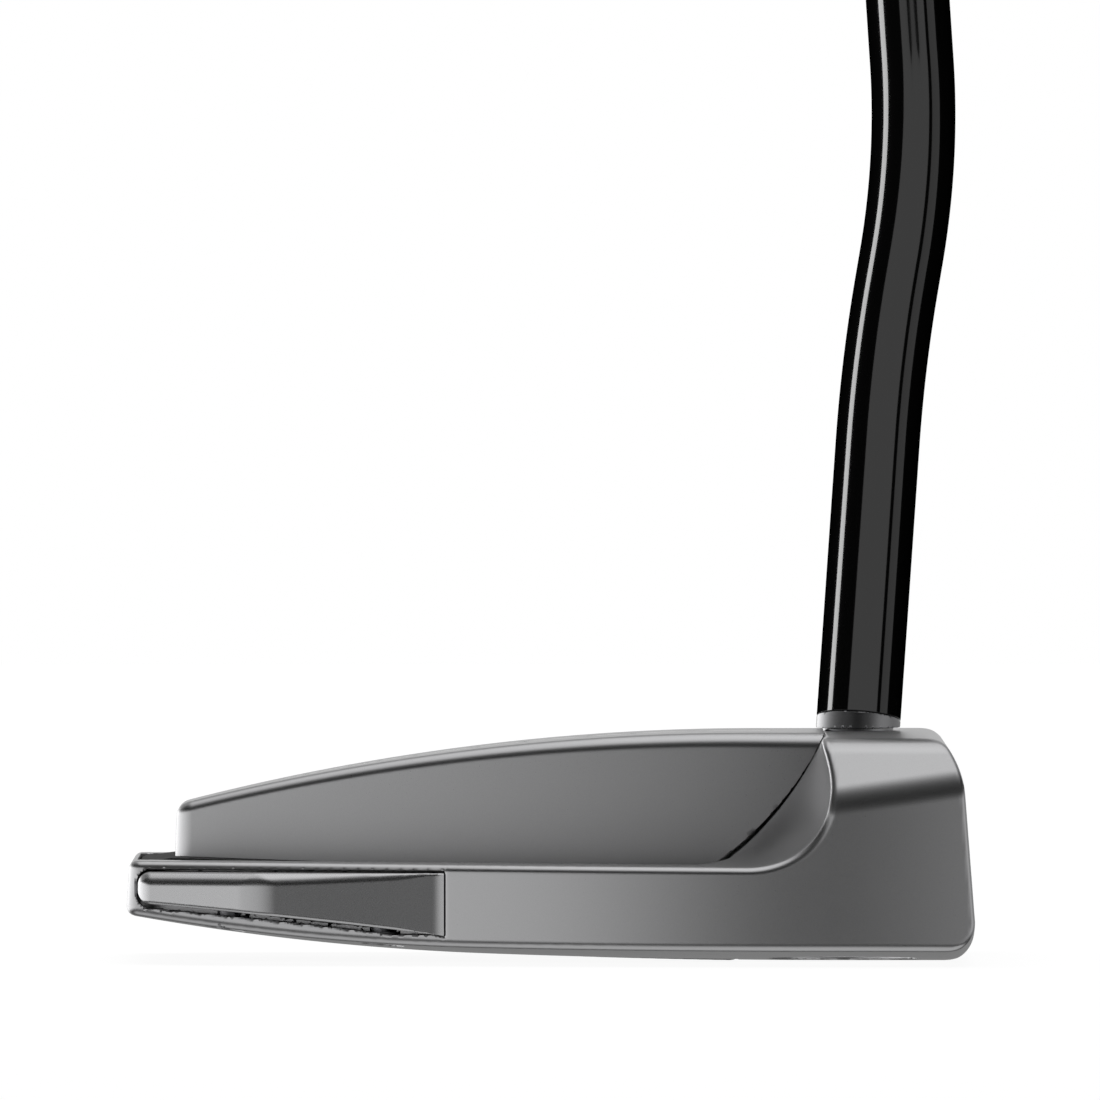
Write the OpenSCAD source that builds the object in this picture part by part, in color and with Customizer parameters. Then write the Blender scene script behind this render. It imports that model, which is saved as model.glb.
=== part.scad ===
// Mallet putter. X runs from toe (-) to heel (+), Y from face (-) to tail (+), Z up.
// The origin is on the ground, under the flat of the sole, midway between the two sole weights.

/* [Head] */
// Width of the head from toe to heel
head_w = 104; // [98:1:110]
// Distance from the origin forward to the leading edge
face_y = 14.5; // [14:0.5:16]
// Distance from the origin back to the tail
tail_y = 79.3; // [76:0.1:82]
// Height of the crown above the ground
crown_z = 25.4; // [25:0.1:27]
// Height of the wings above the ground
wing_z = 11; // [10.8:0.1:11.5]
// Angle at which the face leans back
loft = 4.4; // [2:0.2:5]
// Radius of the toe and heel walls, seen from above
wall_r = 130; // [110:5:160]
// Radius of the hollow behind the front block
back_r = 36.7; // [34:0.1:38]

/* [Spine] */
// Half width of the spine where it meets the crown
spine_front_w = 22; // [20:0.5:24]
// Half width of the spine at its tail
spine_tail_w = 10; // [8:0.5:12]
// Where the spine ends
spine_tail_y = 74.2; // [72:0.1:75]
// Radius of the spine's falling top line
spine_top_r = 255; // [255:5:290]

/* [Sole weights] */
// Distance of each sole weight from the centre
weight_x = 32; // [30:0.5:34]
// Radius of each sole weight
weight_r = 8.1; // [7.5:0.1:8.5]
// Radius of the weight's threaded stem
stem_r = 3.45; // [3:0.05:4]

/* [Shaft] */
// Outer radius of the shaft's tip
tip_r = 4.7; // [4.5:0.05:4.8]
// Outer radius of the shaft under the grip
butt_r = 7.4; // [7.2:0.05:7.6]
// Thickness of the shaft's wall
shaft_wall = 0.6; // [0.5:0.05:0.8]
// Length of the straight upper shaft
upper_len = 762; // [700:2:820]

/* [Grip] */
// Length of the grip
grip_len = 267; // [250:1:280]
// Radius of the grip at its lower end
grip_low_r = 11.6; // [11:0.1:12.5]
// Radius of the grip at its upper end
grip_high_r = 14; // [13.5:0.1:15]

/* [Hidden] */
$fn = 64;
big = 200;
eps = 0.01;
// Room left for glue, or between pieces that touch
glue = 0.03;

// Sides of the head, seen from above
half_w = head_w / 2;
straight_y = 44;
corner_r = 3;

// Sole
pad_half_w = 12;
camber_r = 500;
sole_front_r = 1050;
sole_rear_r = 277;
sole_break_y = 40;
lead_r = 4.4;

// Block
spine_nose_y = 2.9;
shoulder_z = 15;
shoulder_r = 9;
shoulder_angle = 52;
brow = [3, 4.8];
rim_arc = [11.8, wing_z + 10.3];
rim_arc_r = 10.3;
back_axis = [35.7, 40.1];
core_half_w = 38;

// Deck and its inlay
deck_z = 8.2;
deck_front_y = 13;
deck_end_y = 78.2;
deck_front_w = 32;
deck_end_w = 23.5;
inlay_front_z = 9.7;
inlay_rear_z = 11.6;
inlay_gap = 0.15;

// Face insert
insert_w = 78;
insert_h = 17;
insert_t = 4;
insert_r = 4;
insert_low = 0.6;
pad_t = 0.8;
groove_count = 13;
groove_pitch = 1.2;
groove_h = 0.5;
groove_d = 0.45;

// Wing weights: a tenon in the wing's pocket and a faceted boss that stands out from the wall
wing_front_y = 44.2;
boss_front_y = 46;
wing_fold_y = 65;
wing_rear_y = 78;
wing_fold_x = 43.3;
wing_front_slope = 0.045;
wing_rear_slope = 0.5;
tenon_x = [34.5, 31.5, 26.5];
wing_top = 10.1;
boss_lift = 2;
tenon_lift = 3.2;
wing_gap = 0.2;
wing_bolts = [[37.6, 51], [32.4, 68]];
wing_screw_r = 1.25;
wing_head_r = 2.2;
wing_head_h = 1.1;

// Screws
screw_r = 1.5;
screw_head_r = 2.8;
screw_head_h = 1.6;
spine_bolt_y = [30, 58];
spine_bolt_top = 14.5;

// Sole plate
plate_front_y = 12;
plate_rear_y = 68;
plate_front_w = 27;
plate_rear_w = 13;
plate_t = 1.4;
plate_sunk = 0.25;

// Sole weights
weight_low = 0.9;
weight_high = 4.3;
washer_t = 0.8;
port_gap = 0.3;
stem_gap = 0.05;
stem_top = 10.6;
port_top = 11;
drive_r = 2.2;
drive_d = 2.4;

// Shaft route: a point on the axis at crown height and the direction of each run
foot = [22, -1.88, crown_z];
low_dir = unit([0.185, -0.0705, 1]);
mid_dir = unit([0.25, -0.172, 1]);
top_dir = unit([0.364, 0.063, 1]);
low_bend_z = 57;
low_bend_r = 160;
mid_len = 3.5;
high_bend_r = 92;
collar_h = 1.1;
low_len = (low_bend_z - crown_z) / low_dir.z;
bend_a = foot + low_len * low_dir;
bend_b = bend_end(bend_a, low_dir, mid_dir, low_bend_r) + mid_len * mid_dir;
bend_c = bend_end(bend_b, mid_dir, top_dir, high_bend_r);
post_depth = 14;
post_r = 4;
spigot_len = 22;
taper_start = 100;
grip_start = upper_len - grip_len;
band_start = grip_start - 60;
band_len = 35;
band_t = 0.12;
shaft_sides = 32;

// Grip, measured along the upper shaft
tape_t = 0.25;
mouth_len = 14;
skin_t = 1.5;
flat_share = 0.8;
cap_t = 5;
cap_spigot = 8;
cap_gap = 0.1;
vent_r = 0.8;

function unit(v) = v / norm(v);
function arc_points(c, r, a, b, n = 8) =
    [for (i = [0:n]) c + r * [cos(a + (b - a) * i / n), sin(a + (b - a) * i / n)]];

// Half width of the head at y: a round wall, then a straight one that touches it
function round_w(y) = half_w - wall_r + sqrt(wall_r * wall_r - y * y);
function half_width(y) = y < straight_y ? round_w(y)
    : round_w(straight_y) - (y - straight_y) * straight_y / sqrt(wall_r * wall_r - straight_y * straight_y);
function share(y, a, b) = (y - a) / (b - a);
function spine_half_w(y) =
    spine_front_w - (spine_front_w - spine_tail_w) * pow(share(y, 3, spine_tail_y), 1.45);
function spine_z(y) =
    crown_z - spine_top_r + sqrt(spine_top_r * spine_top_r - pow(max(0, y - 10), 2));
function sole_z(y) = y < 0 ? 0
    : y < sole_break_y ? y * y / 2 / sole_front_r
    : sole_z(sole_break_y - eps) + (y - sole_break_y) * sole_break_y / sole_front_r
        + pow(y - sole_break_y, 2) / 2 / sole_rear_r;
function deck_half_w(y) =
    deck_front_w + (deck_end_w - deck_front_w) * share(y, deck_front_y, deck_end_y);
function inlay_z(y) = inlay_front_z + (inlay_rear_z - inlay_front_z) * share(y, 16, spine_tail_y);
function shaft_r(s) =
    s < taper_start ? tip_r
    : s > grip_start ? butt_r
    : tip_r + (butt_r - tip_r) * share(s, taper_start, grip_start);

// Bends of the shaft
function bend_angle(a, b) = acos(a * b);
function bend_side(a, b) = unit(b - (a * b) * a);
function bend_end(p, a, b, r) =
    p + r * sin(bend_angle(a, b)) * a + r * (1 - cos(bend_angle(a, b))) * bend_side(a, b);
function lean(d) = acos(d.z);
function heading(d) = atan2(d.y, d.x);

// A flat shape of (y, z) points made solid along X, and one of (x, z) points along Y
module along_x(w) {
    rotate([90, 0, 90]) linear_extrude(height = w, center = true) children();
}
module along_y(w) {
    rotate([90, 0, 0]) linear_extrude(height = w, center = true) children();
}
module both_sides() {
    children();
    mirror([1, 0, 0]) children();
}
// Local +Z turned to direction d
module aim(d) {
    rotate([0, lean(d), heading(d)]) children();
}
// The upper shaft's own frame: its run along +Z, the golfer's side at +X
module on_upper(s = 0) {
    translate(bend_c + s * top_dir) aim(top_dir) rotate([0, 0, -heading(top_dir)]) children();
}

module head_plan() {
    front_w = half_width(-face_y) - corner_r;
    end_w = half_width(tail_y) - 0.7 * corner_r;
    side = concat(
        arc_points([front_w, -face_y + corner_r], corner_r, -90, -10, 5),
        [for (y = [-6:10:straight_y]) [half_width(y), y]],
        arc_points([end_w, tail_y - corner_r], corner_r, 18, 90, 5)
    );
    count = len(side);
    polygon(concat(side, [for (i = [count - 1:-1:0]) [-side[i].x, side[i].y]]));
}

module sole_line_to_tail(lift = 0) {
    polygon(concat(
        [for (y = [-face_y - 1:5:-1]) [y, lift]],
        [for (y = [0:8:tail_y + 2]) [y, sole_z(y) + lift]],
        [[tail_y + 6, sole_z(tail_y + 6) + lift], [tail_y + 6, big], [-face_y - 1, big]]
    ));
}

// The head seen from the toe, without the spine
module toe_profile() {
    face_top = [-face_y + brow.x / 2, crown_z - brow.y];
    polygon(concat(
        arc_points([-face_y + lead_r, lead_r], lead_r, 180, 270, 6),
        [for (y = [0:8:72]) [y, sole_z(y)]],
        [[tail_y - 0.6, sole_z(tail_y)], [tail_y, sole_z(tail_y) + 0.7], [tail_y - 0.4, wing_z]],
        arc_points(rim_arc, rim_arc_r, 270, 184, 10),
        [[2.7, crown_z], [face_top.x + brow.x, crown_z], face_top]
    ));
}

// The thicker middle of the block, hollowed behind by a large radius
module core_profile() {
    difference() {
        translate([-face_y + brow.x + 2, 4]) square([deck_front_y + face_y + 2, crown_z - 4]);
        translate(back_axis) circle(r = back_r, $fn = 128);
    }
}

// The space behind the block, from the toe: a large round hollow, open to the tail
module behind_block(r) {
    translate(back_axis) circle(r = r, $fn = 128);
    translate([back_axis.x, 0]) square([big, back_axis.y + r]);
}

// The head seen from the front: cambered sole and rolled shoulders
module front_profile() {
    shoulder_c = [half_w - shoulder_r, shoulder_z];
    turn = 90 - shoulder_angle;
    top = shoulder_c + shoulder_r * [cos(turn), sin(turn)];
    crown_in = (crown_z - top.y) / tan(shoulder_angle);
    side = concat(
        [for (x = [pad_half_w:8:half_w + 8]) [x, camber(x)]],
        [[half_w + 8, 8], [half_w, shoulder_z]],
        arc_points(shoulder_c, shoulder_r, 0, turn, 6),
        [[top.x - crown_in, crown_z + eps]]
    );
    count = len(side);
    polygon(concat(side, [for (i = [count - 1:-1:0]) [-side[i].x, side[i].y]]));
}

module deck_plan(gap = 0) {
    front = deck_half_w(deck_front_y) - gap;
    rear = deck_half_w(deck_end_y) - gap;
    polygon([
        [-front, deck_front_y], [front, deck_front_y],
        [rear, deck_end_y - gap], [-rear, deck_end_y - gap]
    ]);
}

module spine_plan(gap = 0) {
    ends = [for (y = [0:6:72]) y];
    side = concat([for (y = ends) [spine_half_w(max(3, y)) + gap, y]],
        [[spine_tail_w + gap, spine_tail_y + gap]]);
    count = len(side);
    polygon(concat(side, [for (i = [count - 1:-1:0]) [-side[i].x, side[i].y]]));
}

module insert_plan(grow = 0) {
    x = insert_w / 2 - insert_r;
    low = insert_r;
    high = insert_h - insert_r;
    r = insert_r + grow;
    polygon(concat(
        arc_points([x, high], r, 0, 90, 6), arc_points([-x, high], r, 90, 180, 6),
        arc_points([-x, low], r, 180, 270, 6), arc_points([x, low], r, 270, 360, 6)
    ));
}
// The face's own frame: X across, Z up the face, +Y into the head
module on_face() {
    translate([0, -face_y, lead_r]) rotate([-loft, 0, 0])
        translate([0, 0, insert_low - lead_r / 3]) children();
}
module insert_slab(from, t, grow = 0) {
    on_face() translate([0, from + t, 0]) rotate([90, 0, 0])
        linear_extrude(height = t) insert_plan(grow);
}

function facet_x(y) = wing_fold_x
    - (y < wing_fold_y ? wing_front_slope : wing_rear_slope) * (y - wing_fold_y);
// Outer side of the weight at y, and of its tenon, which stops at the wall
module tenon_plan(gap = 0) {
    out = gap > 0 ? 12 : 0;
    polygon([
        [half_width(wing_front_y) - 0.4 + out, wing_front_y - gap],
        [half_width(wing_rear_y) - 0.4 + out, wing_rear_y + gap],
        [tenon_x[2] - gap, wing_rear_y + gap], [tenon_x[1] - gap, wing_fold_y],
        [tenon_x[0] - gap, wing_front_y - gap]
    ]);
}
module boss_plan() {
    polygon([
        [facet_x(boss_front_y), boss_front_y], [wing_fold_x, wing_fold_y],
        [facet_x(wing_rear_y), wing_rear_y], [half_width(wing_rear_y) + wing_gap, wing_rear_y],
        [half_width(boss_front_y) + wing_gap, boss_front_y]
    ]);
}
// The neck that joins tenon and boss through the open side of the pocket
module neck_plan() {
    polygon([
        [half_width(boss_front_y) + 0.3, boss_front_y + 1], [half_width(wing_rear_y) + 1, wing_rear_y - 1],
        [half_width(wing_rear_y) - 2, wing_rear_y - 1], [half_width(boss_front_y) - 2, boss_front_y + 1]
    ]);
}
module wing_band(lift, top = wing_top) {
    ys = [42, 48, 54, 60, 66, 72, 80];
    polygon(concat([for (y = ys) [y, sole_z(y) + lift]], [[80, top], [42, top]]));
}
// A plan raised from the band's lower line to its top
module wing_part(lift, top = wing_top) {
    intersection() {
        linear_extrude(height = wing_z) children();
        along_x(big) wing_band(lift, top);
    }
}
module wing_solid() {
    wing_part(tenon_lift) tenon_plan();
    wing_part(tenon_lift) neck_plan();
    wing_part(boss_lift) boss_plan();
}
module wing_pocket() {
    wing_part(tenon_lift - wing_gap, wing_top + glue) tenon_plan(wing_gap);
}

// A flat-headed screw, head down, with the underside of its head at z = 0
module screw(length, r, head_r, head_h) {
    difference() {
        union() {
            translate([0, 0, -head_h]) cylinder(r = head_r, h = head_h);
            cylinder(r = r, h = length);
        }
        translate([0, 0, -head_h - eps]) cylinder(r = 0.8 * r, h = 0.6 * head_h, $fn = 6);
    }
}
module screw_hole(length, r, head_r) {
    translate([0, 0, -big]) cylinder(r = head_r + 0.2, h = big);
    translate([0, 0, -eps]) cylinder(r = r, h = length + 0.3);
}
function camber(x) = pow(max(0, x - pad_half_w), 2) / 2 / camber_r;
function wing_seat_z(p) = sole_z(p.y) + camber(p.x) + wing_head_h + 0.5;
function spine_seat_z(y) = sole_z(y) + plate_sunk + plate_t + 1.4;
module wing_bolts(hole = false) {
    for (p = wing_bolts) translate([p.x, p.y, wing_seat_z(p)]) {
        if (hole) screw_hole(4.6, wing_screw_r, wing_head_r);
        else screw(4.6, wing_screw_r, wing_head_r, wing_head_h);
    }
}
module spine_bolts(hole = false) {
    for (y = spine_bolt_y) translate([0, y, spine_seat_z(y)]) {
        length = spine_bolt_top - spine_seat_z(y);
        if (hole) screw_hole(length, screw_r, screw_head_r);
        else screw(length, screw_r, screw_head_r, screw_head_h);
    }
}

module port() {
    translate([0, 0, -1]) cylinder(r = weight_r + port_gap, h = 1 + weight_high + washer_t);
    cylinder(r = stem_r + stem_gap, h = port_top);
}
module post_bore() {
    translate(foot) aim(low_dir) rotate([0, 0, 100])
        translate([0, 0, -post_depth]) cylinder(r = post_r, h = 2 * post_depth);
}
module plate_plan(gap = 0) {
    polygon([
        [-plate_front_w - gap, plate_front_y - gap], [plate_front_w + gap, plate_front_y - gap],
        [plate_rear_w + gap, plate_rear_y + gap], [-plate_rear_w - gap, plate_rear_y + gap]
    ]);
}

module head_body() {
    color([0.33, 0.33, 0.34]) difference() {
        intersection() {
            linear_extrude(height = crown_z) head_plan();
            union() {
                along_x(big) toe_profile();
                along_x(2 * core_half_w) core_profile();
            }
            along_y(big) front_profile();
        }
        // Seat for the deck inlay and the spine
        translate([0, 0, deck_z]) linear_extrude(height = big) deck_plan();
        insert_slab(-1, 1 + insert_t + pad_t);
        both_sides() wing_pocket();
        both_sides() wing_bolts(hole = true);
        spine_bolts(hole = true);
        both_sides() translate([weight_x, 0, 0]) port();
        post_bore();
        difference() {
            translate([0, 0, -1]) linear_extrude(height = 8) plate_plan(0.15);
            along_x(big) sole_line_to_tail(plate_sunk + plate_t);
        }
    }
}

module face_insert() {
    color([0.62, 0.63, 0.65]) difference() {
        insert_slab(0, insert_t);
        for (i = [0:groove_count - 1])
            on_face() translate([-big / 2, -1, 1.2 + i * groove_pitch]) cube([big, 1 + groove_d, groove_h]);
    }
}

module insert_pad() {
    color([0.1, 0.1, 0.1]) insert_slab(insert_t, pad_t);
}

module spine_bridge() {
    color([0.36, 0.36, 0.37]) difference() {
        intersection() {
            translate([0, 0, deck_z]) linear_extrude(height = crown_z) spine_plan();
            along_x(big) behind_block(back_r - 0.3);
            along_x(big) polygon(concat(
                [[spine_nose_y, deck_z + glue], [spine_nose_y, crown_z]],
                [for (y = [8:6:spine_tail_y - 3]) [y, spine_z(y)]],
                [[spine_tail_y, spine_z(spine_tail_y)], [spine_tail_y, deck_z + glue]]
            ));
        }
        spine_bolts(hole = true);
        sight_groove(eps);
    }
}

// A groove or strip along the crest of the spine, from one y to another
module sight_groove(raise = 0) {
    ys = [for (y = [8:6:62]) y];
    count = len(ys);
    along_x(2.4) polygon(concat(
        [for (y = ys) [y, spine_z(y) + raise]],
        [for (i = [count - 1:-1:0]) [ys[i], spine_z(ys[i]) - 0.5]]
    ));
}
module sight_line() {
    color([0.93, 0.93, 0.92]) sight_groove();
}

module deck_inlay() {
    color([0.05, 0.05, 0.05]) difference() {
        intersection() {
            translate([0, 0, deck_z]) linear_extrude(height = 10) deck_plan(inlay_gap);
            along_x(big) polygon([
                [deck_front_y, deck_z], [deck_front_y, inlay_z(deck_front_y)],
                [spine_tail_y, inlay_z(spine_tail_y)], [deck_end_y, wing_z + 0.3],
                [deck_end_y, deck_z]
            ]);
            along_x(big) behind_block(back_r - 0.1);
        }
        linear_extrude(height = big) spine_plan(inlay_gap);
    }
}

module sole_plate() {
    color([0.12, 0.12, 0.12]) difference() {
        intersection() {
            translate([0, 0, -1]) linear_extrude(height = 8) plate_plan();
            along_x(big) sole_line_to_tail(plate_sunk);
        }
        along_x(big) sole_line_to_tail(plate_sunk + plate_t);
        for (y = spine_bolt_y) translate([0, y, -1]) cylinder(r = screw_head_r + 0.2, h = 10);
    }
}

module sole_screws() {
    color([0.25, 0.25, 0.25]) spine_bolts();
}

module wing_weight() {
    difference() {
        wing_solid();
        wing_bolts(hole = true);
    }
}
module wing_weight_heel() {
    color([0.45, 0.45, 0.46]) wing_weight();
}
module wing_weight_toe() {
    color([0.45, 0.45, 0.46]) mirror([1, 0, 0]) wing_weight();
}
module wing_screws_heel() {
    color([0.25, 0.25, 0.25]) wing_bolts();
}
module wing_screws_toe() {
    color([0.25, 0.25, 0.25]) mirror([1, 0, 0]) wing_bolts();
}

module sole_weight(x) {
    translate([x, 0, 0]) difference() {
        union() {
            translate([0, 0, weight_low]) cylinder(r = weight_r, h = weight_high - weight_low);
            translate([0, 0, weight_high - eps]) cylinder(r = stem_r, h = stem_top - weight_high);
        }
        translate([0, 0, weight_low - eps]) cylinder(r = drive_r, h = drive_d, $fn = 6);
    }
}
module sole_weight_toe() {
    color([0.5, 0.5, 0.52]) sole_weight(-weight_x);
}
module sole_weight_heel() {
    color([0.5, 0.5, 0.52]) sole_weight(weight_x);
}

module weight_washer(x) {
    translate([x, 0, weight_high]) difference() {
        cylinder(r = weight_r - 0.9, h = washer_t - 0.05);
        translate([0, 0, -1]) cylinder(r = stem_r + 0.1, h = 3);
    }
}
module weight_washer_toe() {
    color([0.08, 0.08, 0.08]) weight_washer(-weight_x);
}
module weight_washer_heel() {
    color([0.08, 0.08, 0.08]) weight_washer(weight_x);
}

module hosel_post() {
    color([0.55, 0.55, 0.56]) translate(foot) aim(low_dir) {
        translate([0, 0, 0.4 - post_depth]) cylinder(r = post_r - glue, h = post_depth - 0.4 + collar_h);
        translate([0, 0, collar_h - 0.1]) cylinder(r = tip_r - shaft_wall - 2 * glue, h = spigot_len - collar_h);
        // Collar, trimmed to the crown that it stands on
        intersection() {
            translate([0, 0, -2]) cylinder(r = tip_r, h = collar_h + 2 - glue);
            rotate([0, -lean(low_dir), 0]) translate([-big / 2, -big / 2, glue]) cube(big);
        }
    }
}

// Rings of the shaft: centre, direction and outer radius
function bend_ring(p, a, b, r, t) =
    let (turn = t * bend_angle(a, b), side = bend_side(a, b))
    [p + r * sin(turn) * a + r * (1 - cos(turn)) * side, cos(turn) * a + sin(turn) * side, tip_r];
function upper_ring(s) = [bend_c + s * top_dir, top_dir, shaft_r(s)];
shaft_rings = concat(
    [[foot + collar_h * low_dir, low_dir, tip_r]],
    [for (t = [0:0.2:1]) bend_ring(bend_a, low_dir, mid_dir, low_bend_r, t)],
    [for (t = [0:0.125:1]) bend_ring(bend_b, mid_dir, top_dir, high_bend_r, t)],
    [for (s = [taper_start, grip_start, upper_len]) upper_ring(s)]
);
function ring_point(ring, r, j) =
    let (d = ring[1], u = unit(cross([0, 1, 0], d)), v = cross(d, u), a = 360 * j / shaft_sides)
    ring[0] + r * (cos(a) * u + sin(a) * v);
// Two triangles over four points, given in order
function pair(a, b, c, d) = [[a, b, c], [a, c, d]];
function flat_list(pairs) = [for (p = pairs) for (f = p) f];

module shaft_tube() {
    n = shaft_sides;
    m = len(shaft_rings);
    outer = [for (ring = shaft_rings) for (j = [0:n - 1]) ring_point(ring, ring[2], j)];
    inner = [for (ring = shaft_rings) for (j = [0:n - 1]) ring_point(ring, ring[2] - shaft_wall, j)];
    walls = [for (i = [0:m - 2]) for (j = [0:n - 1])
        let (k = (j + 1) % n, a = i * n + j, b = i * n + k, h = m * n)
        concat(pair(a, a + n, b + n, b), pair(h + a, h + b, h + b + n, h + a + n))];
    ends = [for (j = [0:n - 1])
        let (k = (j + 1) % n, t = (m - 1) * n, h = m * n)
        concat(pair(j, k, h + k, h + j), pair(t + j, h + t + j, h + t + k, t + k))];
    polyhedron(points = concat(outer, inner), faces = flat_list(concat(walls, ends)));
}

module shaft() {
    color([0.03, 0.03, 0.03]) shaft_tube();
}

module shaft_band() {
    color([0.7, 0.7, 0.7]) on_upper() rotate_extrude() polygon([
        [shaft_r(band_start), band_start], [shaft_r(band_start) + band_t, band_start],
        [shaft_r(band_start + band_len) + band_t, band_start + band_len],
        [shaft_r(band_start + band_len), band_start + band_len]
    ]);
}

module grip_tape() {
    color([0.85, 0.83, 0.75]) on_upper(grip_start + 2) difference() {
        cylinder(r = butt_r + tape_t, h = grip_len - 2 - glue);
        translate([0, 0, -1]) cylinder(r = butt_r + glue, h = grip_len);
    }
}

// Half-space that leaves the grip its flat thumb side, at -X
module flat_side(r) {
    translate([-flat_share * r, -big / 2, -big]) cube([big, big, 3 * big]);
}
module core_form(gap = 0) {
    low_r = grip_low_r - skin_t - gap;
    high_r = grip_high_r - skin_t - gap;
    intersection() {
        translate([0, 0, mouth_len + gap]) cylinder(r1 = low_r, r2 = high_r, h = grip_len - mouth_len - gap);
        flat_side(high_r - 1 - gap);
    }
}
module grip_core() {
    color([0.2, 0.2, 0.2]) on_upper(grip_start) difference() {
        core_form(glue);
        translate([0, 0, -1]) cylinder(r = butt_r + tape_t + glue, h = grip_len + 2);
    }
}
module grip_skin() {
    color([0.07, 0.07, 0.07]) on_upper(grip_start) difference() {
        intersection() {
            rotate_extrude() polygon([
                [0, 0], [butt_r + 1.2, 0], [butt_r + 1.9, 1], [grip_low_r, mouth_len - 3],
                [grip_high_r, grip_len], [0, grip_len]
            ]);
            flat_side(grip_high_r);
        }
        core_form();
        translate([0, 0, -1]) cylinder(r = butt_r + glue, h = 3);
        translate([0, 0, 1]) cylinder(r = butt_r + tape_t + glue, h = grip_len);
    }
}
module grip_end_cap() {
    color([0.06, 0.06, 0.06]) on_upper(upper_len + glue) difference() {
        union() {
            intersection() {
                rotate_extrude() polygon([
                    [0, 0], [grip_high_r, 0], [grip_high_r, cap_t - 2.2], [grip_high_r - 0.9, cap_t - 0.9],
                    [grip_high_r - 3, cap_t], [0, cap_t]
                ]);
                flat_side(grip_high_r);
            }
            translate([0, 0, -cap_spigot]) cylinder(r = butt_r - shaft_wall - cap_gap, h = cap_spigot + 1);
        }
        translate([0, 0, -cap_spigot - 1]) cylinder(r = vent_r, h = cap_t + cap_spigot + 2);
    }
}

head_body();
face_insert();
insert_pad();
spine_bridge();
sight_line();
deck_inlay();
sole_plate();
sole_screws();
wing_weight_toe();
wing_weight_heel();
wing_screws_toe();
wing_screws_heel();
sole_weight_toe();
sole_weight_heel();
weight_washer_toe();
weight_washer_heel();
hosel_post();
shaft();
shaft_band();
grip_tape();
grip_core();
grip_skin();
grip_end_cap();
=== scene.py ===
import math

import bpy
import numpy as np
from mathutils import Matrix, Vector


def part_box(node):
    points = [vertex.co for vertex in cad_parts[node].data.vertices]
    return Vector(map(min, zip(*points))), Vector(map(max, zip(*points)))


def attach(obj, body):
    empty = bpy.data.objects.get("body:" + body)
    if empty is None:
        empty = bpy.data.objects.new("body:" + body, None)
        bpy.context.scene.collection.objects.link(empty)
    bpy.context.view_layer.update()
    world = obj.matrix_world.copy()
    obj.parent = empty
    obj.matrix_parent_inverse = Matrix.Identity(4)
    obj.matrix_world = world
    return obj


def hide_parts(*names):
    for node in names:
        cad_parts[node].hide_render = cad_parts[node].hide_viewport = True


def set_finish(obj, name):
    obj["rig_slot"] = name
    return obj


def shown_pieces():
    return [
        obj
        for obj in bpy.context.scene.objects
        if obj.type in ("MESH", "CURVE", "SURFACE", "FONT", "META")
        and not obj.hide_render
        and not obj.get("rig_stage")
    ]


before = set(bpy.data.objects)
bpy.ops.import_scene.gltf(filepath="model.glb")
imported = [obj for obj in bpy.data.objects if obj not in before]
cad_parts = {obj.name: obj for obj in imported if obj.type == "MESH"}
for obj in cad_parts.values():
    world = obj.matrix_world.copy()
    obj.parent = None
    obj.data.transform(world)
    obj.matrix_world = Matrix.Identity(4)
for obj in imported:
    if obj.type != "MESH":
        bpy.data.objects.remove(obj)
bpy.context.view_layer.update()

# ---------------------------------------------------------------- sizes
# Everything below is in millimetres, in the frame of the CAD model, and is scaled on the way into a mesh.
MM = 0.001


def node_box(node):
    """A node's lowest and highest corners, in millimetres."""
    low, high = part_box(node)
    return np.array(low) / MM, np.array(high) / MM


HEAD_LOW, HEAD_HIGH = node_box("head_body")
CROWN_Z = HEAD_HIGH[2]
TAIL_Y = HEAD_HIGH[1]
HALF_W = HEAD_HIGH[0]
FACE_Y = HEAD_LOW[1]

WALL_R = 130.0        # round of the toe and heel walls, seen from above
STRAIGHT_Y = 44.0     # where those walls turn straight
FACE_SLOPE = 0.077    # how far the face leans back for each unit of height
LEAD_Z = 2.65         # height of the leading edge
BACK_AXIS = (35.7, 40.1)
BACK_R = 36.7         # large hollow behind the block
RIM_R = 11.4          # concave round from the block to the wing
WING_FRONT_Z = 10.95
WING_TAIL_Z = 11.4
BROW_Z = 18.9         # where the face starts to curve back
BROW_R = 9.5
SHOULDER_Z = 18.4     # where the toe wall and the shoulder would meet
SHOULDER_TILT = math.radians(38)
DECK_Z = 8.2
DECK = (13.0, 78.2, 32.0, 23.5)      # front, end, half widths there
INLAY = (16.0, 74.0, 9.7, 11.6)      # front, end, heights there
SPINE_TOP_R = 255.0
SPINE_TAIL_Y = 74.2
SPINE_WIDTHS = (22.0, 10.0)
SOLE_FRONT_R = 1050.0
SOLE_REAR_R = 277.0
SOLE_BREAK_Y = 40.0
PAD_HALF_W = 12.0
CAMBER_R = 500.0
WEIGHT_X = (node_box("sole_weight_heel")[0][0] + node_box("sole_weight_heel")[1][0]) / 2
PLATE = (12.0, 68.0, 27.0, 13.0)     # front, end, half widths there
PLATE_SUNK = 0.25
PLATE_T = 1.4
WING_FOLD = (43.15, 65.0)
WING_SLOPES = (0.045, 0.5)           # how fast the weight's facets turn in, before and after the fold
WING_Y = (44.2, 78.15)
WING_BLEND = 1.2                     # length over which the weight leaves the wall
WING_TOP = 10.2
TENON_X = ((44.2, 34.5), (65.0, 31.5), (78.0, 26.5))
TENON_LIFT = 3.2
WING_BOLTS = ((37.6, 51.0), (32.4, 68.0))
WING_SCREW = (1.25, 2.2, 1.6)        # stem and head radius, and the seat's height over the sole
SPINE_BOLT_Y = (30.0, 58.0)
SPINE_SCREW = (1.5, 2.8, 3.15)
INSERT = (39.0, 17.0, 3.8, 4.0)      # half width, height, thickness, corner radius
INSERT_MIDDLE = 12.0
INSERT_PAD_T = 1.0
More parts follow.
